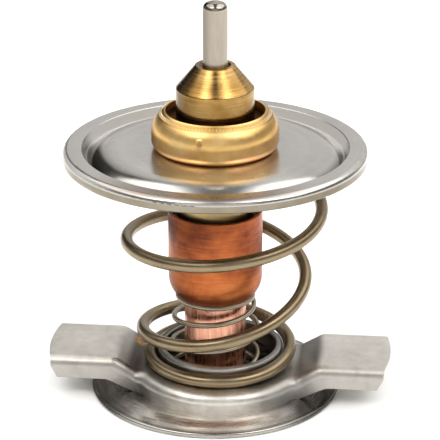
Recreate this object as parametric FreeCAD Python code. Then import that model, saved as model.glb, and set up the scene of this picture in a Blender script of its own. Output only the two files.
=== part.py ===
"""Wax thermostat of a truck engine, at real size in millimetres.

+Z points up along the piston. The origin is midway between the strap's two ends,
level with the lower edge of the bypass disc. The strap lies along X.
"""

import FreeCAD
import Part

import math
import os

V = FreeCAD.Vector

# Heights of the seats above the bypass disc's lower edge
ring_seat_z = 1.8
plate_seat_z = 58.1
overall_height = 91.4

# The wax element stands this far off the middle of the loose strap
element_x = -1.1

# Edges broken or rolled in the making
fine_edge = 0.2
broken_edge = 0.3
soft_edge = 0.5
rolled_edge = 0.8

# Piston pin and the turned brass guide that it slides in
pin_radius = 2.75
pin_tip_rounding = 1.5
pin_clearance = 0.05
guide_barrel_height = 7.6
guide_cone_height = 5.2
guide_tip_radius = 4.4
guide_radius = 8.7
guide_countersink = 0.7
guide_flange_radius = 11.9
guide_flange_height = 3.0
funnel_radius = 5.0

# Rubber and washers under the pin
fit_gap = 0.02
diaphragm_thickness = 1.16
plug_neck_height = 0.5
plug_washer_thickness = 0.6
rubber_gap = 0.05

# Brass head: collar above the valve plate, neck below it
collar_radius = 14.2
collar_height = 8.9
collar_rounding = 5.5
collar_foot_rounding = 2.0
collar_lip_slope_deg = 30
collar_floor = 2.1
lip_inner_radius = 11.0
pocket_clearance = 0.1
neck_radius = 8.5
neck_bore_radius = 7.0
neck_foot_height = 5.0
neck_foot_depth = 22.1
stake_width = 0.8
stake_height = 0.9

# Copper cup that holds the wax
cup_radius = 10.65
cup_wall = 0.65
cup_rim_drop = 14.6
cup_length = 20.4
cup_taper_height = 2.5
cup_taper_inset = 1.75
cup_taper_rounding = 6.0
stem_radius = 7.0
stem_wall = 1.0
stem_end_z = 0.4
stem_floor_z = 4.5

# Valve plate pressed from sheet: a crown, a narrow trough beside the rim, and a turned-down skirt
plate_radius = 34.0
plate_sheet = 1.65
plate_edge_rounding = 0.7
plate_rim_rounding = 1.4
plate_crown_run = 3.2
plate_crown_rounding = 12.5
plate_trough_rounding = 0.4
plate_rim_above_crown = 0.3
plate_rim_width = 4.25
plate_trough_below_rim = 2.3
plate_wall_run = 0.85
plate_trough_width = 0.5
plate_skirt_height = 3.1
plate_hole_clearance = 0.05

# Main spring, wound tapering down to the strap
main_wire_radius = 1.45
main_top_inset = 1.0
main_bottom_radius = 16.0
main_taper_start_deg = -144
main_taper_end_deg = 720
main_top_tip_deg = -450
main_bottom_tip_deg = 1008
spring_play = 0.05
coil_zero_deg = 5.6
coil_step_deg = 22.5

# The wire isn't evenly wound: each pair is degrees of turn and the share of the height fallen by then
main_coil_fall = [
    (-216, 0.00),
    (-90, 0.107),
    (0, 0.235),
    (90, 0.334),
    (180, 0.383),
    (270, 0.439),
    (360, 0.587),
    (450, 0.771),
    (540, 0.856),
    (630, 0.908),
    (720, 0.964),
    (810, 1.00),
]

# Strap pressed from sheet as a shallow channel with a ring in its middle
strap_half_length = 39.2
strap_half_width = 10.25
strap_sheet = 1.8
strap_bend_radius = 2.2
strap_arm_rise = 3.1
strap_lip_height = 4.9
ring_radius = 20.5
ring_height = 4.6
ring_to_arm_blend = 4.0
joggle_top_x = 23.2
joggle_top_run = 5.2
joggle_lip_x = 25.0
joggle_lip_run = 6.0
joggle_rounding = 3.0
lip_end_setback = 1.7
spring_guide_radius = 14.4
spring_guide_wall = 1.7
spring_guide_height = 3.9
spring_guide_foot = 1.0
spring_guide_mouth = 2.0

# Bypass disc, sliding on the cup's stem
disc_radius = 28.5
disc_sheet = 1.2
disc_rim_width = 3.0
disc_slope_run = 3.0
disc_hub_radius = 11.6
disc_hub_rise = 1.8
disc_hub_slope_run = 1.2
disc_bend_rounding = 3.0
disc_hole_clearance = 0.25

# Bypass spring between the cup's shoulder and the disc's hub
bypass_wire_radius = 0.6
bypass_top_radius = 8.55
bypass_bottom_radius = 9.8
bypass_top_tip_deg = -414
bypass_leave_deg = -138
bypass_seat_deg = 916
bypass_bottom_tip_deg = 1152
bypass_widening_deg = 504
bypass_ease_deg = 72

# Snap ring that holds the disc on the stem
ring_wire_height = 1.0
ring_outer_radius = 8.8
ring_groove_depth = 0.7
ring_gap_deg = 40.0
ring_side_play = 0.05

# Blocks that only cut, and joined pieces of one sheet, run this far past each other
cut_beyond = 10
join_overlap = 0.5
tiny = 0.01

# Places that follow from the sizes above
ring_top_z = ring_seat_z + ring_height
arm_top_z = ring_top_z + strap_arm_rise
spring_guide_top_z = ring_top_z + spring_guide_height
plate_hole_radius = neck_radius + plate_hole_clearance
plate_crown_under_z = plate_seat_z - plate_sheet
plate_rim_z = plate_seat_z + plate_rim_above_crown
plate_rim_inner = plate_radius - plate_rim_width
plate_trough_outer = plate_rim_inner - plate_wall_run
plate_trough_inner = plate_trough_outer - plate_trough_width
plate_trough_z = plate_rim_z - plate_trough_below_rim
plate_crown_radius = plate_trough_inner - plate_crown_run
main_top_radius = plate_crown_radius - main_top_inset
collar_top_z = plate_seat_z + collar_height
pocket_floor_z = plate_seat_z + collar_floor
pocket_radius = guide_flange_radius + pocket_clearance
flange_under_z = pocket_floor_z + diaphragm_thickness + 2 * fit_gap
flange_top_z = flange_under_z + guide_flange_height
lip_under_z = flange_top_z + fit_gap
guide_bore_radius = pin_radius + pin_clearance
plug_top_z = flange_top_z + plug_neck_height
washer_under_z = plug_top_z + fit_gap
pin_foot_z = washer_under_z + plug_washer_thickness + fit_gap
cup_rim_z = plate_seat_z - cup_rim_drop
cup_inner_radius = cup_radius - cup_wall
shoulder_z = cup_rim_z - cup_length
foot_bottom_z = plate_seat_z - neck_foot_depth
disc_hub_top_z = ring_seat_z + disc_hub_rise
disc_hub_under_z = disc_hub_top_z - disc_sheet
snap_ring_top_z = disc_hub_under_z - 2 * ring_side_play
snap_ring_under_z = snap_ring_top_z - ring_wire_height
groove_radius = stem_radius - ring_groove_depth


def rounded_wire(corners):
    """Closed outline in the XZ plane through (x, z) or (x, z, rounding) corners."""
    points = [V(c[0], 0, c[1]) for c in corners]
    roundings = [c[2] if len(c) > 2 else 0 for c in corners]
    ends = []
    edges = []
    for i, point in enumerate(points):
        before = (points[i - 1] - point).normalize()
        after = (points[(i + 1) % len(points)] - point).normalize()
        if roundings[i] == 0:
            ends.append((point, point))
            continue
        half = before.getAngle(after) / 2
        reach = roundings[i] / math.tan(half)
        depth = roundings[i] / math.sin(half) - roundings[i]
        first = point + before * reach
        last = point + after * reach
        middle = point + (before + after).normalize() * depth
        edges.append(Part.Arc(first, middle, last).toShape())
        ends.append((first, last))
    for i in range(len(ends)):
        start = ends[i - 1][1]
        finish = ends[i][0]
        if start.distanceToPoint(finish) > 1e-6:
            edges.append(Part.makeLine(start, finish))
    return Part.Wire(Part.sortEdges(edges)[0])


def turned(corners):
    """Solid of revolution about Z from (radius, z) or (radius, z, rounding) corners."""
    face = Part.Face(rounded_wire(corners))
    return face.revolve(V(0, 0, 0), V(0, 0, 1), 360)


def under_sheet(top, sheet):
    """Lower corners of a pressed sheet from its upper ones, which start and end level."""
    under = [(top[0][0], top[0][1] - sheet) + top[0][2:]]
    for before, corner, after in zip(top, top[1:], top[2:]):
        radius, z, rounding = corner
        slope_in = math.atan2(z - before[1], radius - before[0])
        slope_out = math.atan2(after[1] - z, after[0] - radius)
        slope = (slope_in + slope_out) / 2
        turn = slope_out - slope_in
        reach = sheet / math.cos(turn / 2)
        bend = max(rounding + math.copysign(sheet, turn), fine_edge)
        under.append((radius + reach * math.sin(slope), z - reach * math.cos(slope), bend))
    under.append((top[-1][0], top[-1][1] - sheet) + top[-1][2:])
    return under[::-1]


def on_element(shape):
    """Moves a shape from the strap's middle onto the wax element's axis."""
    shape.translate(V(element_x, 0, 0))
    return shape


def smooth_between(stations, at):
    """Smooth curve through (place, value) stations, level beyond the first and last."""
    if at <= stations[0][0]:
        return stations[0][1]
    if at >= stations[-1][0]:
        return stations[-1][1]
    i = max(k for k in range(len(stations) - 1) if stations[k][0] <= at)
    (x0, y0), (x1, y1) = stations[i], stations[i + 1]
    span = x1 - x0
    slopes = []
    for k in (i, i + 1):
        if k == 0 or k == len(stations) - 1:
            slopes.append(0)
        else:
            rise = stations[k + 1][1] - stations[k - 1][1]
            slopes.append(rise / (stations[k + 1][0] - stations[k - 1][0]))
    t = (at - x0) / span
    from_values = y0 * (1 + 2 * t) * (1 - t) ** 2 + y1 * t * t * (3 - 2 * t)
    from_slopes = span * (slopes[0] * t * (1 - t) ** 2 - slopes[1] * t * t * (1 - t))
    return from_values + from_slopes


def coil(first_deg, last_deg, radius_at, height_at, wire_radius):
    """Round wire swept along a right-hand coil that sinks as its degrees of turn go up."""
    steps = math.ceil((last_deg - first_deg) / coil_step_deg)
    points = []
    for step in range(steps + 1):
        turn_deg = first_deg + (last_deg - first_deg) * step / steps
        angle = math.radians(coil_zero_deg - turn_deg)
        radius = radius_at(turn_deg)
        height = height_at(turn_deg)
        points.append(V(radius * math.cos(angle), radius * math.sin(angle), height))
    line = Part.BSplineCurve()
    line.interpolate(points)
    start_tangent = line.tangent(line.FirstParameter)[0]
    section = Part.Wire(Part.makeCircle(wire_radius, points[0], start_tangent))
    make_solid, frenet = True, False
    return Part.Wire(line.toShape()).makePipeShell([section], make_solid, frenet)


def piston_pin():
    return on_element(
        turned(
            [
                (0, pin_foot_z),
                (pin_radius, pin_foot_z, fine_edge),
                (pin_radius, overall_height, pin_tip_rounding),
                (0, overall_height),
            ]
        )
    )


def piston_guide():
    barrel_top_z = flange_top_z + guide_barrel_height
    guide_top_z = barrel_top_z + guide_cone_height
    return on_element(
        turned(
            [
                (guide_bore_radius, flange_top_z),
                (guide_bore_radius, guide_top_z - guide_countersink),
                (guide_bore_radius + guide_countersink, guide_top_z),
                (guide_tip_radius, guide_top_z, fine_edge),
                (guide_radius, barrel_top_z, soft_edge),
                (guide_radius, flange_top_z, broken_edge),
                (guide_flange_radius, flange_top_z, fine_edge),
                (guide_flange_radius, flange_under_z),
                (funnel_radius, flange_under_z),
            ]
        )
    )


def plug_washer():
    washer = Part.makeCylinder(pin_radius, plug_washer_thickness, V(0, 0, washer_under_z))
    return on_element(washer)


def rubber_plug():
    return on_element(
        turned(
            [
                (0, flange_under_z),
                (funnel_radius - rubber_gap, flange_under_z),
                (pin_radius, flange_top_z),
                (pin_radius, plug_top_z),
                (0, plug_top_z),
            ]
        )
    )


def diaphragm():
    base = V(0, 0, pocket_floor_z + fit_gap)
    disc = Part.makeCylinder(guide_flange_radius, diaphragm_thickness, base)
    return on_element(disc)


def element_head():
    """Collar, neck and foot in one turning; the lip is rolled in over the guide's flange."""
    foot_radius = cup_inner_radius - fit_gap
    foot_top_z = foot_bottom_z + neck_foot_height
    stake_top_z = plate_crown_under_z - fit_gap
    stake_radius = neck_radius + stake_width
    lip_slope = math.tan(math.radians(collar_lip_slope_deg))
    lip_fall = (collar_radius - lip_inner_radius) * lip_slope
    return on_element(
        turned(
            [
                (neck_bore_radius, pocket_floor_z),
                (pocket_radius, pocket_floor_z),
                (pocket_radius, lip_under_z),
                (lip_inner_radius, lip_under_z),
                (lip_inner_radius, collar_top_z, fine_edge),
                (collar_radius, collar_top_z - lip_fall, collar_rounding),
                (collar_radius, plate_seat_z, collar_foot_rounding),
                (neck_radius, plate_seat_z),
                (neck_radius, stake_top_z),
                (stake_radius, stake_top_z, fine_edge),
                (stake_radius, stake_top_z - stake_height, soft_edge),
                (neck_radius, stake_top_z - stake_height - stake_width),
                (neck_radius, foot_top_z, broken_edge),
                (foot_radius, foot_top_z, fine_edge),
                (foot_radius, foot_bottom_z, broken_edge),
                (neck_bore_radius, foot_bottom_z),
            ]
        )
    )


def cup_cavity(inset):
    """Corners of the hollow in the copper cup below the head, drawn in by an inset."""
    wide = cup_inner_radius - inset
    narrow = stem_radius - stem_wall - inset
    knee_z = shoulder_z + stem_wall + inset
    return [
        (0, stem_floor_z + inset),
        (narrow, stem_floor_z + inset, rolled_edge),
        (narrow, knee_z, rolled_edge),
        (wide - cup_taper_inset, knee_z, rolled_edge),
        (wide, knee_z + cup_taper_height, cup_taper_rounding / 2),
    ]


def wax_charge():
    column = neck_bore_radius - rubber_gap
    wide = cup_inner_radius - rubber_gap
    return on_element(
        turned(
            cup_cavity(rubber_gap)
            + [
                (wide, foot_bottom_z - rubber_gap),
                (column, foot_bottom_z - rubber_gap),
                (column, pocket_floor_z - rubber_gap),
                (0, pocket_floor_z - rubber_gap),
            ]
        )
    )


def copper_cup():
    groove_top_z = snap_ring_top_z + ring_side_play
    groove_under_z = snap_ring_under_z - ring_side_play
    outside = [
        (cup_inner_radius, cup_rim_z, fine_edge),
        (cup_radius, cup_rim_z, fine_edge),
        (cup_radius, shoulder_z + cup_taper_height, cup_taper_rounding),
        (cup_radius - cup_taper_inset, shoulder_z, broken_edge),
        (stem_radius, shoulder_z, soft_edge),
        (stem_radius, groove_top_z),
        (groove_radius, groove_top_z),
        (groove_radius, groove_under_z),
        (stem_radius, groove_under_z),
        (stem_radius, stem_end_z, soft_edge),
        (0, stem_end_z),
    ]
    return on_element(turned(cup_cavity(0) + outside))


def valve_plate():
    top = [
        (plate_hole_radius, plate_seat_z),
        (plate_crown_radius, plate_seat_z, plate_crown_rounding),
        (plate_trough_inner, plate_trough_z, plate_trough_rounding),
        (plate_trough_outer, plate_trough_z, plate_trough_rounding),
        (plate_rim_inner, plate_rim_z, broken_edge),
        (plate_radius, plate_rim_z, plate_rim_rounding),
    ]
    skirt_inner = plate_radius - plate_sheet
    skirt_z = plate_rim_z - plate_skirt_height
    skirt = [
        (plate_radius, skirt_z, plate_edge_rounding),
        (skirt_inner, skirt_z, plate_edge_rounding),
        (skirt_inner, plate_rim_z - plate_sheet, broken_edge),
    ]
    return on_element(turned(top + skirt + under_sheet(top, plate_sheet)[1:]))


def under_crown_z(radius, gap):
    """Height that lies a gap below the plate's curved underside, at a radius."""
    slope = math.atan2(plate_seat_z - plate_trough_z, plate_crown_run)
    curve_starts = plate_crown_radius - plate_crown_rounding * math.tan(slope / 2)
    curve_centre_z = plate_seat_z - plate_crown_rounding
    reach = plate_crown_rounding - plate_sheet - gap
    return curve_centre_z + math.sqrt(reach**2 - (radius - curve_starts) ** 2)


def main_spring():
    farthest_reach = main_top_radius + abs(element_x)
    top_z = under_crown_z(farthest_reach, spring_play + main_wire_radius)
    bottom_z = ring_top_z + spring_play + main_wire_radius
    taper_deg = main_taper_end_deg - main_taper_start_deg

    def radius_at(turn_deg):
        share = min(max((turn_deg - main_taper_start_deg) / taper_deg, 0), 1)
        return main_top_radius + (main_bottom_radius - main_top_radius) * share

    def height_at(turn_deg):
        return top_z - (top_z - bottom_z) * smooth_between(main_coil_fall, turn_deg)

    return coil(
        main_top_tip_deg,
        main_bottom_tip_deg,
        radius_at,
        height_at,
        main_wire_radius,
    )


def bypass_spring():
    top_z = shoulder_z - spring_play - bypass_wire_radius
    bottom_z = disc_hub_top_z + spring_play + bypass_wire_radius
    widening = [
        (bypass_leave_deg, bypass_top_radius),
        (bypass_leave_deg + bypass_widening_deg, bypass_bottom_radius),
    ]
    ease_share = bypass_ease_deg / (bypass_seat_deg - bypass_leave_deg)
    fall = [
        (bypass_leave_deg - bypass_ease_deg, 0),
        (bypass_leave_deg + bypass_ease_deg, ease_share),
        (bypass_seat_deg - bypass_ease_deg, 1 - ease_share),
        (bypass_seat_deg + bypass_ease_deg, 1),
    ]

    def radius_at(turn_deg):
        return smooth_between(widening, turn_deg)

    def height_at(turn_deg):
        return top_z - (top_z - bottom_z) * smooth_between(fall, turn_deg)

    spring = coil(
        bypass_top_tip_deg,
        bypass_bottom_tip_deg,
        radius_at,
        height_at,
        bypass_wire_radius,
    )
    return on_element(spring)


def strap_plan(inset):
    """Tall block of the strap's plan: a ring with an arm to each side, blended at the corners."""
    far = strap_half_length + cut_beyond
    height = arm_top_z + 2 * cut_beyond
    width = strap_half_width - inset
    ring = Part.makeCylinder(ring_radius - inset, height, V(0, 0, -cut_beyond))
    arms = Part.makeBox(2 * far, 2 * width, height, V(-far, -width, -cut_beyond))
    plan = ring.fuse(arms).removeSplitter()
    corner_x = math.sqrt((ring_radius - inset) ** 2 - width**2)
    inner_corners = [
        edge
        for edge in plan.Edges
        if abs(abs(edge.CenterOfMass.x) - corner_x) < tiny
        and abs(abs(edge.CenterOfMass.y) - width) < tiny
    ]
    return plan.makeFillet(ring_to_arm_blend + inset, inner_corners)


def channel_block(inset, drop, lip_depth):
    """The plan cut to the strap's side view, with its upper edges rounded over."""
    far = strap_half_length + cut_beyond
    lip_end_z = arm_top_z - strap_lip_height
    top = [
        (far, arm_top_z - drop),
        (joggle_top_x, arm_top_z - drop, joggle_rounding),
        (joggle_top_x - joggle_top_run, ring_top_z - drop, joggle_rounding),
    ]
    lip = [
        (joggle_lip_x - joggle_lip_run, ring_seat_z - lip_depth, joggle_rounding),
        (joggle_lip_x, lip_end_z - lip_depth, joggle_rounding),
        (far, lip_end_z - lip_depth),
    ]
    top_left = [(-c[0],) + c[1:] for c in reversed(top)]
    lip_left = [(-c[0],) + c[1:] for c in reversed(lip)]
    side = Part.Face(rounded_wire(top + top_left + lip_left + lip))
    side.translate(V(0, -far, 0))
    block = strap_plan(inset).common(side.extrude(V(0, 2 * far, 0)))

    bends = []
    for edge in block.Edges:
        halfway = (edge.FirstParameter + edge.LastParameter) / 2
        middle = edge.valueAt(halfway)
        upright = abs(edge.tangentAt(halfway).z) > 0.9
        on_long_side = abs(middle.y) > strap_half_width / 2
        on_top = middle.z > ring_top_z - drop - tiny
        if on_long_side and on_top and not upright:
            bends.append(edge)
    return block.makeFillet(strap_bend_radius - inset, bends)


def spring_guide():
    """Collar drawn up round the strap's hole, which centres the main spring."""
    hole_radius = spring_guide_radius - spring_guide_wall
    under_z = ring_top_z - strap_sheet
    joined_radius = spring_guide_radius + spring_guide_foot + join_overlap
    return turned(
        [
            (hole_radius, under_z, spring_guide_mouth),
            (hole_radius, spring_guide_top_z, soft_edge),
            (spring_guide_radius, spring_guide_top_z, rolled_edge),
            (spring_guide_radius, ring_top_z, spring_guide_foot),
            (joined_radius, ring_top_z),
            (joined_radius, under_z),
        ]
    )


def frame_strap():
    """Sheet channel: one block less a smaller one, round-ended, with the lips' ends cut slanting."""
    outer = channel_block(0, 0, 0)
    inner = channel_block(strap_sheet, strap_sheet, cut_beyond)
    sheet = outer.cut(inner)
    height = arm_top_z + cut_beyond
    sheet = sheet.common(Part.makeCylinder(strap_half_length, height))
    hole = Part.makeCylinder(spring_guide_radius + spring_guide_foot, height)
    sheet = sheet.cut(hole).fuse(spring_guide()).removeSplitter()
    corner_x = math.sqrt(strap_half_length**2 - strap_half_width**2)
    lip_end_x = corner_x - lip_end_setback
    far = strap_half_length + cut_beyond
    bend_z = arm_top_z - strap_bend_radius
    below_z = arm_top_z - strap_lip_height - join_overlap
    for side in (1, -1):
        corners = [
            V(side * lip_end_x, -far, below_z),
            V(side * corner_x, -far, bend_z),
            V(side * far, -far, bend_z),
            V(side * far, -far, below_z),
        ]
        wedge = Part.Face(Part.makePolygon(corners + corners[:1]))
        sheet = sheet.cut(wedge.extrude(V(0, 2 * far, 0)))
    return sheet


def bypass_disc():
    rim_inner = disc_radius - disc_rim_width
    land_outer = rim_inner - disc_slope_run
    hub_foot = disc_hub_radius + disc_hub_slope_run
    hole_radius = stem_radius + disc_hole_clearance
    top = [
        (hole_radius, disc_hub_top_z),
        (disc_hub_radius, disc_hub_top_z, rolled_edge),
        (hub_foot, ring_seat_z, rolled_edge),
        (land_outer, ring_seat_z, disc_bend_rounding),
        (rim_inner, disc_sheet, disc_bend_rounding),
        (disc_radius, disc_sheet, soft_edge),
    ]
    return on_element(turned(top + under_sheet(top, disc_sheet)))


def retaining_ring():
    base = V(0, 0, snap_ring_under_z)
    outside = Part.makeCylinder(ring_outer_radius, ring_wire_height, base)
    inside = Part.makeCylinder(groove_radius + ring_side_play, ring_wire_height, base)
    half_gap = ring_outer_radius * math.sin(math.radians(ring_gap_deg / 2))
    gap_corner = V(0, -half_gap, snap_ring_under_z)
    gap = Part.makeBox(ring_outer_radius, 2 * half_gap, ring_wire_height, gap_corner)
    return on_element(outside.cut(inside).cut(gap))


parts = {
    "piston_pin": piston_pin,
    "piston_guide": piston_guide,
    "plug_washer": plug_washer,
    "rubber_plug": rubber_plug,
    "diaphragm": diaphragm,
    "element_head": element_head,
    "wax_charge": wax_charge,
    "copper_cup": copper_cup,
    "valve_plate": valve_plate,
    "main_spring": main_spring,
    "frame_strap": frame_strap,
    "bypass_disc": bypass_disc,
    "bypass_spring": bypass_spring,
    "retaining_ring": retaining_ring,
}

os.makedirs("parts", exist_ok=True)
for name, make in parts.items():
    solid = make()
    box = solid.BoundBox
    print(name, solid.isValid(), len(solid.Solids), round(solid.Volume, 1),
          round(box.XMin, 2), round(box.XMax, 2), round(box.ZMin, 2), round(box.ZMax, 2))
    solid.exportStep("parts/" + name + ".step")
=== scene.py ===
"""Dresses a wax thermostat: turned brass, tarnished copper, pressed stainless sheet and spring wire."""

import math

import bpy
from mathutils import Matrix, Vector


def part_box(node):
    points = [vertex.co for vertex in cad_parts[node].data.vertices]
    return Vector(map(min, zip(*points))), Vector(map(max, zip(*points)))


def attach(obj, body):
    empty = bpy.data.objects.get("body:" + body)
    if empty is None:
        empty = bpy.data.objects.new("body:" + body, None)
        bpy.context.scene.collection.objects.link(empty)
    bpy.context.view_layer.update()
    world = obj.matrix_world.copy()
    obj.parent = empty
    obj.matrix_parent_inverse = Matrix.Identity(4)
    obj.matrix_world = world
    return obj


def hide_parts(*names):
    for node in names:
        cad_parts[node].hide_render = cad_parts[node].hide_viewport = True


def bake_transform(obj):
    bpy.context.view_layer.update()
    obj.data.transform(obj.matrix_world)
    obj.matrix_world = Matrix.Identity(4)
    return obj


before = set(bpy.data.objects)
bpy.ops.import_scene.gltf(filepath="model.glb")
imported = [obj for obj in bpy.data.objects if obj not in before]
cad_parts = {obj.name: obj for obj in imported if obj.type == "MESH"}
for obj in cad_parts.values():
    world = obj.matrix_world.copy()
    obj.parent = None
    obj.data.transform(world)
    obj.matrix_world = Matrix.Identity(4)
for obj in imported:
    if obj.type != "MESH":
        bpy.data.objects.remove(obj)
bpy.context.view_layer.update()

mm = 0.001

# Sizes of the solids that the finishes follow
guide_cone_height = 5.2 * mm
collar_side_radius = 13.8 * mm
lip_inner_radius = 11.0 * mm
plate_rim_above_crown = 0.3 * mm
plate_crown_radius = 25.2 * mm
plate_rim_inner_radius = 29.75 * mm
cup_stem_height = 22.7 * mm
strap_lip_radius = 14.6 * mm
strap_ring_reach = (22.0 * mm, 25.0 * mm)
strap_front_y = -10.2 * mm

# Places read from the frame, in metres
pin_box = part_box("piston_pin")
plate_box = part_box("valve_plate")
cup_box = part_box("copper_cup")
disc_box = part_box("bypass_disc")
element_x = (pin_box[0].x + pin_box[1].x) / 2
pin_top_z = pin_box[1].z
guide_shoulder_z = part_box("piston_guide")[1].z - guide_cone_height
collar_top_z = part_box("element_head")[1].z
plate_rim_z = plate_box[1].z
plate_crown_z = plate_rim_z - plate_rim_above_crown
plate_radius = (plate_box[1].x - plate_box[0].x) / 2
cup_mouth_z = cup_box[1].z
cup_shoulder_z = cup_box[0].z + cup_stem_height
disc_radius = (disc_box[1].x - disc_box[0].x) / 2

# Staking round the collar's lip: short ridges on the arc of its rounding, seen in the collar's profile
stake_count = 104
stake_width = 0.34 * mm
stake_height = 0.15 * mm
stake_span_deg = (33, 46)
stake_arc_radius = 5.5 * mm
stake_arc_place = 8.7 * mm
stake_arc_drop = 4.87 * mm
# Band of the lip that gets painted shade between the stakes
staked_band = (11.5 * mm, 12.9 * mm)

# Punched dot on the collar's side, a painted dark reflection in the strap's left bend and rust beside it
dot_azimuth_deg = -8.6
dot_height = 63.35 * mm
dot_radius = 0.85 * mm
bend_reflection_from_x = -21.4 * mm
bend_reflection_to_x = -15.4 * mm
rust_place = (-19.0 * mm, 5.6 * mm, 7.4 * mm)

# Camera, as the photograph was taken
camera_target = Vector((-0.050, 0.103, 40.5)) * mm
camera_azimuth_deg = 5.6
camera_elevation_deg = 21.96
camera_distance = 495.2 * mm
camera_lens = 180
camera_sensor = 36

# Studio: a dim room that is lighter towards the floor, and the least light from any side
room_low = 0.42
room_high = 0.20
room_fade = 0.35
room_tint = (1.0, 0.985, 0.96, 1)
darkest = 0.025

# Wall panels: azimuth, elevation, half width, half height, edge softness and level, below 0 for a dark flag
walls = [
    (166, 25, 0.66, 0.33, 0.06, 0.56),
    (4, 20, 0.55, 0.20, 0.10, 0.52),
    (-146, 24, 0.26, 0.40, 0.14, -0.40),
    (158, 0, 0.30, 0.07, 0.06, -0.12),
    (-163, 2, 0.24, 0.08, 0.06, -0.30),
]

# Ceiling panels, a unit above the part: middle and half size to the right and front, edge softness and level
ceiling = [
    (-0.70, -0.05, 0.55, 0.95, 0.08, 1.75),
    (0.95, -0.05, 0.78, 0.95, 0.08, 1.80),
    (-0.55, 0.62, 0.24, 0.24, 0.10, 3.20),
    (0.66, 0.56, 0.24, 0.24, 0.10, 3.20),
]

# Overhead lamp that grounds the part with a faint shadow
key_power = 20.0
key_size = 2.4
key_distance = 1.2
key_azimuth_deg = -10
key_elevation_deg = 82
floor_half_size = 3.0

# Main spring: tapering coil. Its turns count down from the top in degrees, and each station pairs a turn with
# the share of the height that the coil has fallen by then
main_wire_radius = 1.45 * mm
main_top_radius = 24.2 * mm
main_bottom_radius = 16.0 * mm
main_taper_deg = (-144, 720)
main_tip_deg = (-450, 1008)
main_coil_fall = [
    (-216, 0.00),
    (-90, 0.107),
    (0, 0.235),
    (90, 0.334),
    (180, 0.383),
    (270, 0.439),
    (360, 0.587),
    (450, 0.771),
    (540, 0.856),
    (630, 0.908),
    (720, 0.964),
    (810, 1.00),
]

# Bypass spring: a light coil that widens a little below the cup's shoulder
bypass_wire_radius = 0.6 * mm
bypass_top_radius = 8.55 * mm
bypass_bottom_radius = 9.8 * mm
bypass_tip_deg = (-414, 1152)
bypass_leave_deg = -138
bypass_seat_deg = 916
bypass_ease_deg = 72
bypass_widening_deg = 504

# Both coils: where their turns count from, how finely the wire is made and how far its cut ends are broken
coil_zero_deg = 5.6
coil_step_deg = 3.75
wire_sides = 28
broken_end = 0.15


def rgb(red, green, blue):
    """Opaque colour."""
    return (red, green, blue, 1)


def towards(azimuth_deg, elevation_deg):
    """Direction with its azimuth counted as a view's is: 0 is the front and 90 the right."""
    a, e = math.radians(azimuth_deg), math.radians(elevation_deg)
    return Vector((math.sin(a) * math.cos(e), -math.cos(a) * math.cos(e), math.sin(e)))


def smooth_between(stations, at):
    """Smooth curve through (place, value) stations, level beyond the first and last."""
    if at <= stations[0][0]:
        return stations[0][1]
    if at >= stations[-1][0]:
        return stations[-1][1]
    i = max(k for k in range(len(stations) - 1) if stations[k][0] <= at)
    (x0, y0), (x1, y1) = stations[i], stations[i + 1]
    span = x1 - x0
    slopes = []
    for k in (i, i + 1):
        if k == 0 or k == len(stations) - 1:
            slopes.append(0)
        else:
            rise = stations[k + 1][1] - stations[k - 1][1]
            slopes.append(rise / (stations[k + 1][0] - stations[k - 1][0]))
    t = (at - x0) / span
    from_values = y0 * (1 + 2 * t) * (1 - t) ** 2 + y1 * t * t * (3 - 2 * t)
    from_slopes = span * (slopes[0] * t * (1 - t) ** 2 - slopes[1] * t * t * (1 - t))
    return from_values + from_slopes


def mesh_piece(name, points, faces, smooth=True):
    """New mesh object from points in metres and their faces."""
    mesh = bpy.data.meshes.new(name)
    mesh.from_pydata(points, [], faces)
    mesh.update()
    if smooth:
        mesh.shade_smooth()
    else:
        mesh.shade_flat()
    piece = bpy.data.objects.new(name, mesh)
    bpy.context.scene.collection.objects.link(piece)
    return piece


def wire_ring(here, ahead, axis_x, radius):
    """Points round a wire at one place on its coil, the first of them facing outward."""
    outward = Vector((here.x - axis_x, here.y, 0)).normalized()
    side = (outward - ahead * outward.dot(ahead)).normalized()
    up = ahead.cross(side)
    turns = [2 * math.pi * k / wire_sides for k in range(wire_sides)]
    return [here + (side * math.cos(turn) + up * math.sin(turn)) * radius for turn in turns]


def tube_faces(ring_count):
    """Faces of a closed tube over rings of points, each of them as many points as the wire has sides."""
    faces = []
    for ring in range(ring_count - 1):
        for k in range(wire_sides):
            a = ring * wire_sides + k
            b = ring * wire_sides + (k + 1) % wire_sides
            faces.append((a, b, b + wire_sides, a + wire_sides))
    faces.append(tuple(reversed(range(wire_sides))))
    end = (ring_count - 1) * wire_sides
    faces.append(tuple(range(end, end + wire_sides)))
    return faces


def wire_coil(name, axis_x, tip_deg, radius_at, height_at, wire_radius):
    """Round wire along a coil that sinks as its degrees of turn go up, with its cut ends broken."""
    first, last = tip_deg
    steps = math.ceil((last - first) / coil_step_deg)
    step_deg = (last - first) / steps
    nearly = 0.05

    def centre(turn_deg):
        angle = math.radians(coil_zero_deg - turn_deg)
        radius = radius_at(turn_deg)
        return Vector((axis_x + radius * math.cos(angle), radius * math.sin(angle), height_at(turn_deg)))

    stations = [(first, 1 - broken_end), (first + step_deg / 3, 1.0)]
    stations += [(first + step_deg * k, 1.0) for k in range(1, steps)]
    stations += [(last - step_deg / 3, 1.0), (last, 1 - broken_end)]
    points = []
    for turn_deg, share in stations:
        ahead = (centre(turn_deg + nearly) - centre(turn_deg - nearly)).normalized()
        points += wire_ring(centre(turn_deg), ahead, axis_x, wire_radius * share)
    return mesh_piece(name, points, tube_faces(len(stations)))


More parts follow.
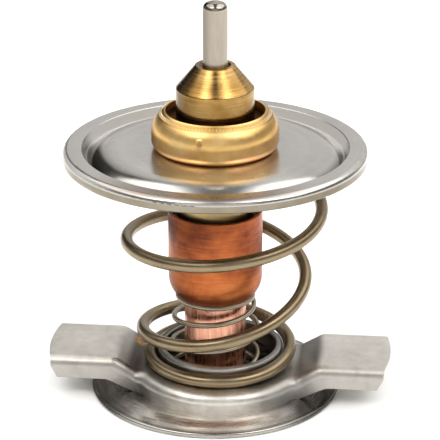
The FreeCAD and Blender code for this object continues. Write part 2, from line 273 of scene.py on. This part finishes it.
class Graph:
    """Short calls for the nodes of a material or a world."""

    def __init__(self, tree):
        self.nodes = tree.nodes
        self.links = tree.links

    def node(self, kind, values=(), **settings):
        """New node of a kind, its settings made and its input sockets set or linked."""
        node = self.nodes.new(kind)
        for name, value in settings.items():
            setattr(node, name, value)
        for socket, value in dict(values).items():
            if isinstance(value, bpy.types.NodeSocket):
                self.links.new(value, node.inputs[socket])
            elif value is not None:
                node.inputs[socket].default_value = value
        return node

    def maths(self, operation, a, b=None):
        return self.node("ShaderNodeMath", {0: a, 1: b}, operation=operation).outputs[0]

    def vector_maths(self, operation, a, b):
        return self.node("ShaderNodeVectorMath", {0: a, 1: b}, operation=operation).outputs

    def total(self, *values):
        total = values[0]
        for value in values[1:]:
            total = self.maths("ADD", total, value)
        return total

    def product(self, *values):
        product = values[0]
        for value in values[1:]:
            product = self.maths("MULTIPLY", product, value)
        return product

    def rest_of(self, share):
        """What a share leaves of 1."""
        return self.maths("SUBTRACT", 1.0, share)

    def dot(self, a, b):
        return self.vector_maths("DOT_PRODUCT", a, b)["Value"]

    def scaled(self, vector, factors):
        """Vector or colour with each of its parts times its own factor."""
        return self.vector_maths("MULTIPLY", vector, factors)[0]

    def parts(self, vector):
        return self.node("ShaderNodeSeparateXYZ", {0: vector}).outputs[:3]

    def join(self, x=0.0, y=0.0, z=0.0):
        return self.node("ShaderNodeCombineXYZ", {0: x, 1: y, 2: z}).outputs[0]

    def noise(self, vector, scale, detail=4.0, roughness=0.55, distortion=0.0):
        values = {
            "Vector": vector,
            "Scale": scale,
            "Detail": detail,
            "Roughness": roughness,
            "Distortion": distortion,
        }
        return self.node("ShaderNodeTexNoise", values).outputs["Fac"]

    def grain(self, *stretched, detail=4.0, roughness=0.55):
        """Noise over up to three values, each given with the factor that it is stretched by."""
        values = [self.product(value, factor) for value, factor in stretched]
        return self.noise(self.join(*values), 1.0, detail, roughness)

    def spread(self, value, low, high, to_low=0.0, to_high=1.0):
        """A value's range low to high stretched to another range, smoothly and held at its ends."""
        values = {0: value, 1: low, 2: high, 3: to_low, 4: to_high}
        return self.node("ShaderNodeMapRange", values, interpolation_type="SMOOTHSTEP").outputs[0]

    def fade(self, value, low, high):
        """1 up to a low value, and from there down to 0 at a high one."""
        return self.spread(value, low, high, 1.0, 0.0)

    def vary(self, noise, low, high):
        """The usual range of a noise stretched to another range."""
        return self.spread(noise, 0.3, 0.7, low, high)

    def ramp(self, value, stops):
        """Colour that a value has on a scale of (position, colour) stops."""
        node = self.node("ShaderNodeValToRGB", {0: value})
        elements = node.color_ramp.elements
        while len(elements) < len(stops):
            elements.new(0.5)
        for element, (position, colour) in zip(elements, stops):
            element.position = position
            element.color = colour
        return node.outputs[0]

    def blend(self, share, a, b):
        """Colour or value a, with a share of b laid over it."""
        values = {"Factor": share, 6: a, 7: b}
        return self.node("ShaderNodeMix", values, data_type="RGBA").outputs[2]


class Finish(Graph):
    """A surface, with the place on it measured from an upright axis."""

    def __init__(self, name, metallic, roughness, colour, axis_x=0.0):
        self.material = bpy.data.materials.new(name)
        self.material.use_nodes = True
        super().__init__(self.material.node_tree)
        self.shader = self.nodes["Principled BSDF"]
        self.shader.inputs["Metallic"].default_value = metallic
        self.shader.inputs["Roughness"].default_value = roughness
        self.shader.inputs["Base Color"].default_value = colour
        here = self.node("ShaderNodeTexCoord").outputs["Object"]
        self.place = self.vector_maths("SUBTRACT", here, (axis_x, 0, 0))[0]
        self.right, self.back, self.height = self.parts(self.place)
        squares = self.total(self.product(self.right, self.right), self.product(self.back, self.back))
        self.radius = self.maths("SQRT", squares)
        self.angle = self.maths("ARCTAN2", self.back, self.right)

    def colour(self, value):
        self.links.new(value, self.shader.inputs["Base Color"])

    def rough(self, value):
        self.links.new(value, self.shader.inputs["Roughness"])

    def metal(self, value):
        self.links.new(value, self.shader.inputs["Metallic"])

    def bump(self, layers):
        """Bumps laid over each other: each layer is a height from 0 to 1 and its depth in metres."""
        normal = None
        for height, depth in layers:
            values = {"Height": height, "Strength": 1.0, "Distance": depth, "Normal": normal}
            normal = self.node("ShaderNodeBump", values).outputs[0]
        self.links.new(normal, self.shader.inputs["Normal"])

    def shaded(self, colour, shade):
        """Colour made darker or lighter by one factor."""
        return self.scaled(colour, self.join(shade, shade, shade))

    def near(self, centre, inner, outer):
        """1 within an inner radius of a point, 0 beyond an outer one."""
        return self.fade(self.vector_maths("DISTANCE", self.place, centre)["Value"], inner, outer)

    def from_front(self):
        """Angle away from the front, either way, in radians."""
        return self.maths("ABSOLUTE", self.maths("ADD", self.angle, math.pi / 2))

    def rightward(self):
        """-1 at the left, 0 at the front and back, 1 at the right."""
        return self.maths("COSINE", self.angle)

    def sideways(self):
        """0 at the front and back, 1 at the left and right."""
        return self.maths("ABSOLUTE", self.rightward())

    def painted_left_shade(self, least):
        """Painted shade: 1 all round but falling to a least value on the left side."""
        return self.spread(self.rightward(), -0.95, -0.10, least, 1.0)

    def lathe_rings(self, pitch):
        """Rings left by a tool, as wandering lines of a pitch in metres along the height."""
        return self.grain((self.height, 1 / pitch), (self.angle, 0.4), detail=2, roughness=0.5)


def pin_finish():
    """Ground steel with a polished tip and painted shade on its left side."""
    finish = Finish("ground_pin_steel", 1.0, 0.3, rgb(0.5, 0.46, 0.4), element_x)
    grinding = finish.grain((finish.height, 4200), detail=2)
    patches = finish.noise(finish.scaled(finish.place, (600, 600, 130)), 1.0)
    steel = finish.ramp(patches, [(0.3, rgb(0.35, 0.31, 0.26)), (0.7, rgb(0.45, 0.40, 0.34))])
    # Painted shade darkens the pin's left side
    finish.colour(finish.shaded(steel, finish.painted_left_shade(0.52)))
    polish = finish.spread(finish.height, pin_top_z - 1.9 * mm, pin_top_z - 1.1 * mm)
    finish.rough(finish.product(finish.vary(patches, 0.30, 0.42), finish.spread(polish, 0, 1, 1.0, 0.22)))
    finish.bump([(grinding, 0.0016 * mm)])
    return finish


def turned_brass():
    """The guide: tool rings, stains, a duller barrel, painted shade on its left side, and grime with painted
    shade where it goes into the collar.
    """
    finish = Finish("turned_brass", 1.0, 0.22, rgb(0.5, 0.31, 0.11), element_x)
    fine = finish.lathe_rings(0.28 * mm)
    broad = finish.lathe_rings(0.9 * mm)
    golden = finish.ramp(
        finish.noise(finish.place, 230, 5, 0.6),
        [
            (0.30, rgb(0.365, 0.198, 0.052)),
            (0.50, rgb(0.495, 0.295, 0.097)),
            (0.72, rgb(0.59, 0.395, 0.165)),
        ],
    )
    worn = finish.spread(fine, 0.35, 0.65, 0.80, 1.12)
    barrel_z, cone_z = guide_shoulder_z - 0.6 * mm, guide_shoulder_z + 0.1 * mm
    barrel = finish.spread(finish.height, barrel_z, cone_z, 0.72, 1.0)
    shade = finish.product(worn, finish.vary(broad, 0.85, 1.01), barrel, finish.painted_left_shade(0.42))
    # Grime and painted shade on the guide where it goes into the collar
    grime_and_shade = finish.fade(finish.height, collar_top_z - 2.4 * mm, collar_top_z + 0.6 * mm)
    finish.colour(finish.blend(grime_and_shade, finish.shaded(golden, shade), rgb(0.10, 0.045, 0.015)))
    finish.rough(finish.total(finish.vary(fine, 0.16, 0.28), finish.product(grime_and_shade, 0.2)))
    finish.bump([(fine, 0.0045 * mm), (broad, 0.006 * mm)])
    return finish


def collar_colour(finish, mottle):
    """Mottled golden brass that blushes low down, with a duller neck under the plate."""
    golden = finish.ramp(
        mottle,
        [
            (0.30, rgb(0.79, 0.475, 0.155)),
            (0.50, rgb(0.92, 0.595, 0.222)),
            (0.72, rgb(0.965, 0.695, 0.31)),
        ],
    )
    low_down = finish.fade(finish.height, plate_crown_z, plate_crown_z + 5.5 * mm)
    cloud = finish.spread(finish.noise(finish.place, 95, 3), 0.40, 0.62)
    warm = finish.blend(finish.product(low_down, cloud, 0.6), golden, rgb(1.0, 0.52, 0.27))
    neck = finish.fade(finish.height, plate_crown_z - 2.2 * mm, plate_crown_z - 1.6 * mm)
    return finish.blend(neck, warm, rgb(0.49, 0.37, 0.18))


def pocket_grime_and_shade(finish):
    """Share of grime and painted shade in the pocket inside the collar's lip."""
    inside = finish.fade(finish.radius, lip_inner_radius + 0.02 * mm, lip_inner_radius + 0.2 * mm)
    above_floor = finish.spread(finish.height, plate_crown_z, plate_crown_z + 0.5 * mm)
    below_lip = finish.fade(finish.height, collar_top_z - 2.0 * mm, collar_top_z - 0.6 * mm)
    return finish.product(inside, above_floor, below_lip)


def collar_shade(finish):
    """Painted shade on the collar: darker at its sides and between the stakes on its lip."""
    painted_side_shade = finish.spread(finish.sideways(), 0.80, 1.0, 1.0, 0.68)
    band_start, band_end = staked_band
    staked = finish.product(
        finish.spread(finish.radius, band_start, band_start + 0.25 * mm),
        finish.fade(finish.radius, band_end - 0.3 * mm, band_end),
        finish.spread(finish.height, collar_top_z - 1.6 * mm, collar_top_z - 1.2 * mm),
    )
    return finish.product(painted_side_shade, finish.rest_of(finish.product(staked, 0.34)))


def satin_brass():
    """The head: satin collar with a punched dot, a staked lip, grime and painted shade in its pocket, and
    painted shade on its sides and between the stakes.
    """
    finish = Finish("satin_brass", 1.0, 0.34, rgb(0.75, 0.51, 0.22), element_x)
    mottle = finish.noise(finish.place, 170, 5, 0.62)
    # Grime and painted shade in the pocket inside the lip
    grimed_and_shaded = finish.blend(pocket_grime_and_shade(finish), collar_colour(finish, mottle), rgb(0.155, 0.070, 0.019))
    facing = towards(dot_azimuth_deg, 0) * collar_side_radius
    dot_middle = (facing.x, facing.y, dot_height)
    dot = finish.near(dot_middle, 0.45 * dot_radius, dot_radius)
    dotted = finish.blend(finish.product(dot, 0.75), grimed_and_shaded, rgb(0.42, 0.24, 0.08))
    # Painted shade on the collar's sides and between the stakes, blue darkened most
    shade = collar_shade(finish)
    shade_green = finish.maths("POWER", shade, 1.2)
    shade_blue = finish.maths("POWER", shade, 1.6)
    finish.colour(finish.scaled(dotted, finish.join(shade, shade_green, shade_blue)))
    finish.rough(finish.vary(mottle, 0.28, 0.40))
    ring = finish.maths("SUBTRACT", finish.near(dot_middle, dot_radius, 1.5 * dot_radius), dot)
    rings = finish.lathe_rings(0.30 * mm)
    pores = finish.noise(finish.place, 900, 3, 0.5)
    finish.bump([(ring, 0.05 * mm), (rings, 0.003 * mm), (pores, 0.004 * mm)])
    return finish


def cup_tarnish_and_shade(finish, clouds, streaks):
    """Brown to orange tarnish in clouds and streaks, a little lighter low down, with painted shade on its
    left side.
    """
    low_down = finish.spread(finish.height, cup_shoulder_z, cup_mouth_z - 4 * mm, 0.05, -0.03)
    tarnish = finish.total(finish.product(clouds, 0.66), finish.product(streaks, 0.34), low_down)
    brown = finish.ramp(
        tarnish,
        [
            (0.34, rgb(0.18, 0.055, 0.030)),
            (0.46, rgb(0.365, 0.097, 0.037)),
            (0.58, rgb(0.52, 0.152, 0.047)),
            (0.72, rgb(0.64, 0.232, 0.075)),
        ],
    )
    return finish.shaded(brown, finish.product(finish.painted_left_shade(0.62), 0.84))


def copper_finish():
    """The cup: tarnished above its shoulder, bright and drawn on its stem."""
    finish = Finish("tarnished_copper", 1.0, 0.4, rgb(0.6, 0.25, 0.12), element_x)
    clouds = finish.noise(finish.place, 120, 5, 0.55, 0.3)
    streaks = finish.grain((finish.height, 1500), (finish.angle, 1.6), detail=5, roughness=0.62)
    drawn = finish.grain((finish.angle, 9), (finish.height, 110), roughness=0.5)
    flutes = finish.grain((finish.angle, 6.0), (finish.height, 30), detail=2)
    bright = finish.ramp(
        drawn,
        [(0.3, rgb(0.60, 0.26, 0.165)), (0.5, rgb(0.72, 0.36, 0.245)), (0.7, rgb(0.84, 0.51, 0.38))],
    )
    stem = finish.fade(finish.height, cup_shoulder_z - 0.3 * mm, cup_shoulder_z + 0.6 * mm)
    # Above the shoulder: tarnish, with painted shade on the left side
    finish.colour(finish.blend(stem, cup_tarnish_and_shade(finish, clouds, streaks), bright))
    finish.rough(finish.blend(stem, finish.vary(clouds, 0.48, 0.34), finish.vary(drawn, 0.22, 0.34)))
    pores = finish.noise(finish.place, 900, 2)
    finish.bump([(flutes, 0.07 * mm), (streaks, 0.010 * mm), (pores, 0.008 * mm)])
    return finish


def trough_shade_and_light(finish):
    """Shares of dark grime with painted shade in the front of the plate's trough and of painted pale light in
    its back.
    """
    at_back = finish.spread(finish.back, 0, 9 * mm)
    inside_rim = finish.fade(finish.radius, plate_rim_inner_radius, plate_rim_inner_radius + 0.2 * mm)
    sunk = finish.fade(finish.height, plate_rim_z - 0.25 * mm, plate_rim_z - 0.05 * mm)
    off_crown = finish.spread(finish.radius, plate_crown_radius + 1.0 * mm, plate_crown_radius + 3.0 * mm)
    near_crown = finish.spread(finish.radius, plate_crown_radius + 0.4 * mm, plate_crown_radius + 2.0 * mm)
    grime_and_shade = finish.product(off_crown, inside_rim, sunk, finish.rest_of(at_back))
    # Painted pale light on the back of the trough
    scale = finish.product(near_crown, inside_rim, sunk, at_back)
    return grime_and_shade, scale


def left_edge_light(finish):
    """Share of painted light, a pale patch, on the left of the plate's outer rounding."""
    return finish.product(
        finish.spread(finish.radius, plate_radius - 1.0 * mm, plate_radius - 0.6 * mm),
        finish.spread(finish.height, plate_rim_z - 1.7 * mm, plate_rim_z - 1.2 * mm),
        finish.spread(finish.rightward(), -0.85, -0.45, 0.75, 0.0),
    )


def rim_reflection(finish):
    """Share of a painted brownish reflection of the collar on the front of the flat rim."""
    inner = plate_rim_inner_radius - 0.05 * mm
    return finish.product(
        finish.spread(finish.radius, inner, inner + 0.3 * mm),
        finish.fade(finish.radius, plate_radius - 0.7 * mm, plate_radius - 0.1 * mm),
        finish.spread(finish.from_front(), 0.35, 0.95, 0.9, 0.0),
    )


def rim_nicks(finish):
    """Fine nicks on the front of the plate's edge."""
    nicks = finish.grain((finish.angle, 130), (finish.height, 200), detail=1, roughness=0.5)
    at_front = finish.fade(finish.from_front(), 0.16, 0.30)
    at_edge = finish.spread(finish.radius, plate_radius - 1.4 * mm, plate_radius - 0.8 * mm)
    return finish.product(nicks, at_front, at_edge)


def plate_finish():
    """Satin stainless with grime and painted shade in the trough's front, painted pale light on its back and
    on the left of the edge, painted light and shade round the plate, a painted reflection on the rim's front
    and a khaki skirt.
    """
    finish = Finish("satin_stainless", 1.0, 0.25, rgb(0.58, 0.57, 0.55), element_x)
    patches = finish.noise(finish.place, 70, 5, 0.6)
    spun = finish.grain((finish.radius, 420), (finish.angle, 0.5), detail=3, roughness=0.5)
    stain = finish.total(finish.product(patches, 0.7), finish.product(spun, 0.3))
    clean = finish.ramp(stain, [(0.36, rgb(0.55, 0.535, 0.505)), (0.64, rgb(0.66, 0.645, 0.62))])
    # Grime and painted shade in the trough's front, painted pale light in its back
    grime_and_shade, scale = trough_shade_and_light(finish)
    # The left of the outer rounding gets the same painted pale light
    scale = finish.maths("MAXIMUM", scale, left_edge_light(finish))
    grimed_and_shaded = finish.blend(finish.product(grime_and_shade, 0.8), clean, rgb(0.13, 0.12, 0.105))
    # Pale, not metal, where the painted light lies
    pale_lit = finish.blend(scale, grimed_and_shaded, rgb(0.43, 0.42, 0.40))
    # Painted light on the plate's front and painted shade on its sides and back
    lit = finish.shaded(pale_lit, finish.spread(finish.from_front(), 0.45, 1.15, 1.13, 0.94))
    # Painted reflection of the brass collar on the rim's front
    with_rim_reflection = finish.blend(rim_reflection(finish), lit, rgb(0.31, 0.248, 0.202))
    skirt = finish.product(
        finish.spread(finish.radius, plate_radius - 1.0 * mm, plate_radius - 0.4 * mm),
        finish.fade(finish.height, plate_rim_z - 1.5 * mm, plate_rim_z - 1.0 * mm),
    )
    khaki = finish.ramp(patches, [(0.35, rgb(0.19, 0.165, 0.12)), (0.65, rgb(0.28, 0.25, 0.195))])
    finish.colour(finish.blend(skirt, with_rim_reflection, khaki))
    # The painted pale light is not metal
    finish.metal(finish.rest_of(scale))
    crown = finish.spread(finish.height, plate_crown_z - 0.6 * mm, plate_crown_z - 0.05 * mm)
    finish.rough(finish.product(finish.vary(patches, 0.20, 0.30), finish.spread(crown, 0, 1, 0.55, 1.0)))
    brushed = finish.noise(finish.scaled(finish.place, (250, 1700, 250)), 1.0, 3, 0.5)
    dents = finish.noise(finish.place, 240, 2)
    finish.bump([(rim_nicks(finish), 0.007 * mm), (brushed, 0.002 * mm), (dents, 0.0025 * mm)])
    return finish


def strap_shade(finish):
    """Painted light and shade on the strap: a little lighter on the ring's front, darker on its sides, inside
    its lip and on the arms' front faces.
    """
    front = finish.spread(finish.from_front(), 0.30, 0.66, 1.04, 0.54)
    on_ring = finish.fade(finish.radius, *strap_ring_reach)
    ring = finish.total(finish.product(on_ring, finish.maths("SUBTRACT", front, 1.0)), 1.0)
    lip = finish.spread(finish.radius, strap_lip_radius, strap_lip_radius + 0.8 * mm, 0.70, 1.0)
    on_arm = finish.spread(finish.radius, *strap_ring_reach)
    on_face = finish.spread(finish.back, strap_front_y, strap_front_y + 0.7 * mm, 0.36, 0.0)
    return finish.maths("SUBTRACT", finish.product(ring, lip), finish.product(on_arm, on_face))


def strap_finish():
    """Pressed steel with scratches, scuffs, painted light and shade, a painted dark reflection in its left
    bend and a spot of rust.
    """
    finish = Finish("pressed_strap_steel", 1.0, 0.4, rgb(0.64, 0.61, 0.57))
    patches = finish.noise(finish.place, 85, 6, 0.65)
    scuffs = finish.noise(finish.place, 420, 5, 0.6)
    scratches = finish.noise(finish.scaled(finish.place, (110, 2200, 800)), 1.0)
    stain = finish.total(finish.product(patches, 0.6), finish.product(scuffs, 0.4))
    grey = finish.ramp(
        stain,
        [(0.34, rgb(0.58, 0.54, 0.485)), (0.50, rgb(0.74, 0.705, 0.655)), (0.66, rgb(0.85, 0.82, 0.78))],
    )
    # Painted dark reflection of the spring wire in the strap's left bend
    bend_reflection = finish.product(
        finish.spread(finish.right, bend_reflection_from_x, bend_reflection_from_x + 1.8 * mm),
        finish.fade(finish.right, bend_reflection_to_x - 1.6 * mm, bend_reflection_to_x),
        finish.spread(finish.back, strap_front_y, strap_front_y + 2.0 * mm),
    )
    with_bend_reflection = finish.blend(finish.product(bend_reflection, 0.90), grey, rgb(0.13, 0.10, 0.075))
    rust = finish.product(finish.near(rust_place, 0.7 * mm, 2.6 * mm), finish.spread(scuffs, 0.38, 0.58))
    # Painted light and shade from strap_shade, then a spot of rust
    finish.colour(finish.blend(rust, finish.shaded(with_bend_reflection, strap_shade(finish)), rgb(0.62, 0.30, 0.06)))
    finish.rough(finish.spread(stain, 0.35, 0.65, 0.34, 0.48))
    finish.bump([(scratches, 0.004 * mm), (scuffs, 0.010 * mm)])
    return finish


def disc_finish():
    """Bright spun steel with painted shade on its sides and its hem."""
    finish = Finish("bright_disc_steel", 1.0, 0.14, rgb(0.62, 0.58, 0.52), element_x)
    patches = finish.noise(finish.place, 110, 5, 0.6)
    streaks = finish.grain((finish.angle, 3.0), (finish.radius, 900), roughness=0.6)
    steel = finish.ramp(patches, [(0.3, rgb(0.72, 0.68, 0.62)), (0.7, rgb(0.93, 0.90, 0.85))])
    # Painted shade on the disc's hem and on its left and right sides
    hem_shade = finish.spread(finish.radius, disc_radius - 1.6 * mm, disc_radius - 1.0 * mm, 1.0, 0.52)
    painted_side_shade = finish.spread(finish.sideways(), 0.50, 0.84, 1.0, 0.21)
    finish.colour(finish.shaded(steel, finish.product(hem_shade, painted_side_shade)))
    finish.rough(finish.vary(streaks, 0.16, 0.32))
    finish.bump([(streaks, 0.003 * mm), (finish.noise(finish.place, 260, 3), 0.012 * mm)])
    return finish


def wire_finish(name, axis_x, dark, light):
    """Drawn wire, patchy between a dark and a light colour."""
    finish = Finish(name, 1.0, 0.24, dark, axis_x)
    patches = finish.noise(finish.place, 130, 5, 0.65)
    across = [(finish.radius, 2200), (finish.height, 2200)]
    drawn = finish.grain(*across, (finish.angle, 1), detail=2, roughness=0.5)
    finish.colour(finish.ramp(patches, [(0.25, dark), (0.75, light)]))
    finish.rough(finish.vary(patches, 0.27, 0.35))
    finish.bump([(drawn, 0.0012 * mm)])
    return finish


def plain_finish(name, roughness, colour, noise_scale, depth):
    """One colour with a fine unevenness, for the pieces hidden inside the head."""
    finish = Finish(name, 0.0, roughness, colour)
    finish.bump([(finish.noise(finish.place, noise_scale), depth)])
    return finish


def dress(name, finish):
    """Gives a CAD node's object a finish in all its slots."""
    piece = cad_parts[name]
    for slot in piece.material_slots:
        slot.material = finish.material
    for polygon in piece.data.polygons:
        polygon.use_smooth = True


def make_main_spring():
    low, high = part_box("main_spring")
    top_z = high.z - main_wire_radius
    bottom_z = low.z + main_wire_radius
    first_taper, last_taper = main_taper_deg

    def radius_at(turn_deg):
        share = min(max((turn_deg - first_taper) / (last_taper - first_taper), 0), 1)
        return main_top_radius + (main_bottom_radius - main_top_radius) * share

    def height_at(turn_deg):
        return top_z - (top_z - bottom_z) * smooth_between(main_coil_fall, turn_deg)

    spring = wire_coil("main_spring_wire", 0, main_tip_deg, radius_at, height_at, main_wire_radius)
    finish = wire_finish("oiled_spring_wire", 0, rgb(0.215, 0.161, 0.096), rgb(0.325, 0.256, 0.163))
    spring.data.materials.append(finish.material)
    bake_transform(spring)
    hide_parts("main_spring")


def make_bypass_spring():
    low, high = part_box("bypass_spring")
    top_z = high.z - bypass_wire_radius
    bottom_z = low.z + bypass_wire_radius
    widening = [
        (bypass_leave_deg, bypass_top_radius),
        (bypass_leave_deg + bypass_widening_deg, bypass_bottom_radius),
    ]
    ease_share = bypass_ease_deg / (bypass_seat_deg - bypass_leave_deg)
    fall = [
        (bypass_leave_deg - bypass_ease_deg, 0),
        (bypass_leave_deg + bypass_ease_deg, ease_share),
        (bypass_seat_deg - bypass_ease_deg, 1 - ease_share),
        (bypass_seat_deg + bypass_ease_deg, 1),
    ]

    def radius_at(turn_deg):
        return smooth_between(widening, turn_deg)

    def height_at(turn_deg):
        return top_z - (top_z - bottom_z) * smooth_between(fall, turn_deg)

    spring = wire_coil(
        "bypass_spring_wire", element_x, bypass_tip_deg, radius_at, height_at, bypass_wire_radius
    )
    finish = wire_finish("bypass_wire", element_x, rgb(0.30, 0.25, 0.185), rgb(0.44, 0.38, 0.29))
    spring.data.materials.append(finish.material)
    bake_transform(spring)
    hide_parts("bypass_spring")


def stake_points(around, stations):
    """Points of one ridge on the lip, three at each station: a sunk foot, the crest and the other foot."""
    first_deg, last_deg = stake_span_deg
    outward = Vector((math.cos(around), math.sin(around), 0))
    side = Vector((-math.sin(around), math.cos(around), 0)) * stake_width / 2
    centre = Vector((element_x, 0, collar_top_z - stake_arc_drop)) + outward * stake_arc_place
    points = []
    for share, lift in stations:
        tilt = math.radians(first_deg + (last_deg - first_deg) * share)
        direction = outward * math.sin(tilt) + Vector((0, 0, math.cos(tilt)))
        foot = centre + direction * (stake_arc_radius - stake_height)
        points += [foot - side, centre + direction * (stake_arc_radius + lift), foot + side]
    return points


def stake_faces(first, station_count):
    """Faces of one ridge whose points start at a number."""
    faces = []
    for n in range(station_count - 1):
        a = first + 3 * n
        for left, right in ((0, 1), (1, 2), (2, 0)):
            faces.append((a + left, a + right, a + 3 + right, a + 3 + left))
    last = first + 3 * (station_count - 1)
    return faces + [(first + 2, first + 1, first), (last, last + 1, last + 2)]


def make_staking():
    """Ring of small ridges pressed into the collar's rounded lip, each sunk at both ends."""
    stations = [(0, -stake_height), (0.3, stake_height), (0.7, stake_height), (1, -stake_height)]
    points = []
    faces = []
    for k in range(stake_count):
        faces += stake_faces(len(points), len(stations))
        points += stake_points(2 * math.pi * k / stake_count, stations)
    staking = mesh_piece("lip_staking", points, faces, smooth=False)
    finish = Finish("pressed_brass", 1.0, 0.30, rgb(1.0, 0.87, 0.58))
    finish.bump([(finish.noise(finish.place, 1500, 2), 0.004 * mm)])
    staking.data.materials.append(finish.material)
    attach(staking, "element")


def make_floor():
    corners = [(-1, -1), (1, -1), (1, 1), (-1, 1)]
    points = [(x * floor_half_size, y * floor_half_size, 0) for x, y in corners]
    floor = mesh_piece("floor", points, [(0, 1, 2, 3)])
    finish = Finish("pale_floor", 0.0, 0.9, rgb(0.86, 0.86, 0.855))
    clouds = finish.noise(finish.place, 3.0, 2)
    finish.colour(finish.ramp(clouds, [(0.3, rgb(0.895, 0.895, 0.89)), (0.7, rgb(0.91, 0.91, 0.905))]))
    floor.data.materials.append(finish.material)


def panel_light(graph, direction, middle, across, up, offsets, halves, edge, level):
    """Light of a flat panel with soft edges, measured on the plane a unit away along its middle."""
    depth = graph.maths("MAXIMUM", graph.dot(direction, middle), 0.001)
    shares = [graph.spread(depth, 0.02, 0.12)]
    for axis, offset, half in zip((across, up), offsets, halves):
        place = graph.maths("DIVIDE", graph.dot(direction, axis), depth)
        away = graph.maths("ABSOLUTE", graph.maths("SUBTRACT", place, offset))
        shares.append(graph.fade(away, half - edge, half + edge))
    return graph.product(*shares, level)


def make_world():
    """Studio surround: a dim room with softboxes overhead and panels on its walls."""
    world = bpy.data.worlds.new("studio")
    bpy.context.scene.world = world
    world.use_nodes = True
    graph = Graph(world.node_tree)
    direction = graph.node("ShaderNodeTexCoord").outputs["Generated"]
    straight_up = Vector((0, 0, 1))
    lights = [graph.spread(graph.dot(direction, straight_up), 0.0, room_fade, room_low, room_high)]
    for azimuth_deg, elevation_deg, half_width, half_height, edge, level in walls:
        middle = towards(azimuth_deg, elevation_deg)
        across = straight_up.cross(middle).normalized()
        up = middle.cross(across)
        halves = (half_width, half_height)
        lights.append(
            panel_light(graph, direction, middle, across, up, (0, 0), halves, edge, level)
        )
    front = towards(camera_azimuth_deg, 0)
    right = straight_up.cross(front)
    for to_right, to_front, half_width, half_depth, edge, level in ceiling:
        offsets = (to_right, to_front)
        halves = (half_width, half_depth)
        lights.append(
            panel_light(graph, direction, straight_up, right, front, offsets, halves, edge, level)
        )
    background = graph.nodes["Background"]
    background.inputs["Color"].default_value = room_tint
    graph.links.new(graph.maths("MAXIMUM", graph.total(*lights), darkest), background.inputs["Strength"])


def make_key_light():
    data = bpy.data.lights.new("key", "AREA")
    data.shape = "RECTANGLE"
    data.size = key_size
    data.size_y = key_size
    data.energy = key_power
    light = bpy.data.objects.new("key", data)
    above = towards(key_azimuth_deg, key_elevation_deg)
    light.location = camera_target + above * key_distance
    light.rotation_euler = above.to_track_quat("Z", "Y").to_euler()
    light.visible_camera = False
    light.visible_glossy = False
    bpy.context.scene.collection.objects.link(light)


def make_camera():
    data = bpy.data.cameras.new("camera")
    data.lens = camera_lens
    data.sensor_width = camera_sensor
    camera = bpy.data.objects.new("camera", data)
    back = towards(camera_azimuth_deg, camera_elevation_deg)
    camera.location = camera_target + back * camera_distance
    camera.rotation_euler = back.to_track_quat("Z", "Y").to_euler()
    bpy.context.scene.collection.objects.link(camera)
    bpy.context.scene.camera = camera


bpy.context.scene.view_settings.view_transform = "Standard"
make_camera()
make_world()
make_key_light()
make_floor()

dress("piston_pin", pin_finish())
dress("piston_guide", turned_brass())
dress("plug_washer", plain_finish("washer_ptfe", 0.4, rgb(0.85, 0.85, 0.83), 700, 0.01 * mm))
dress("rubber_plug", plain_finish("plug_rubber", 0.7, rgb(0.02, 0.02, 0.02), 900, 0.02 * mm))
dress("diaphragm", plain_finish("plug_rubber", 0.7, rgb(0.02, 0.02, 0.02), 900, 0.02 * mm))
dress("element_head", satin_brass())
dress("wax_charge", plain_finish("wax", 0.5, rgb(0.75, 0.62, 0.35), 300, 0.02 * mm))
dress("copper_cup", copper_finish())
dress("valve_plate", plate_finish())
dress("frame_strap", strap_finish())
dress("bypass_disc", disc_finish())
dress("retaining_ring", wire_finish("ring_steel", element_x, rgb(0.33, 0.31, 0.28), rgb(0.45, 0.43, 0.40)))
make_main_spring()
make_bypass_spring()
make_staking()
